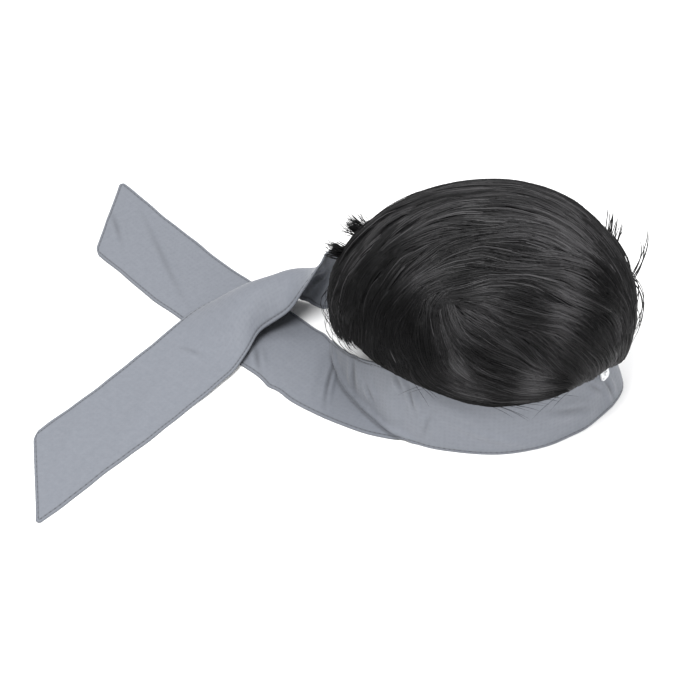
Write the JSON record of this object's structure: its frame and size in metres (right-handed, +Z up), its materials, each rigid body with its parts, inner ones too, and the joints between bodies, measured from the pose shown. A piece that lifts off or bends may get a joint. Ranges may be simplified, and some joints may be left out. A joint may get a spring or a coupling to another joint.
{
  "type": "pirate wig",
  "caption": "Short swept-back dark wig on a hollow cap, standing in a grey cloth sash tied round its hairline with crossed tails behind.",
  "frame": {"origin": "centre of the bounding box in plan, on the surface the sash rests on", "axes": "+X the wig's front, +Z up, +Y its left side; the sash's tails point to -X"},
  "size_m": [0.4272, 0.3814, 0.1665],
  "materials": {
    "hair": "glossy synthetic fibre",
    "cap": "matt net and wefts",
    "sash": "matt woven cloth",
    "snap": "clear plastic"
  },
  "bodies": {
    "root": {"sash": "sash", "wig_cap": "cap", "crown_hair": "hair", "nape_hair": "hair", "snap_fastener": "snap"}
  },
  "joints": []
}
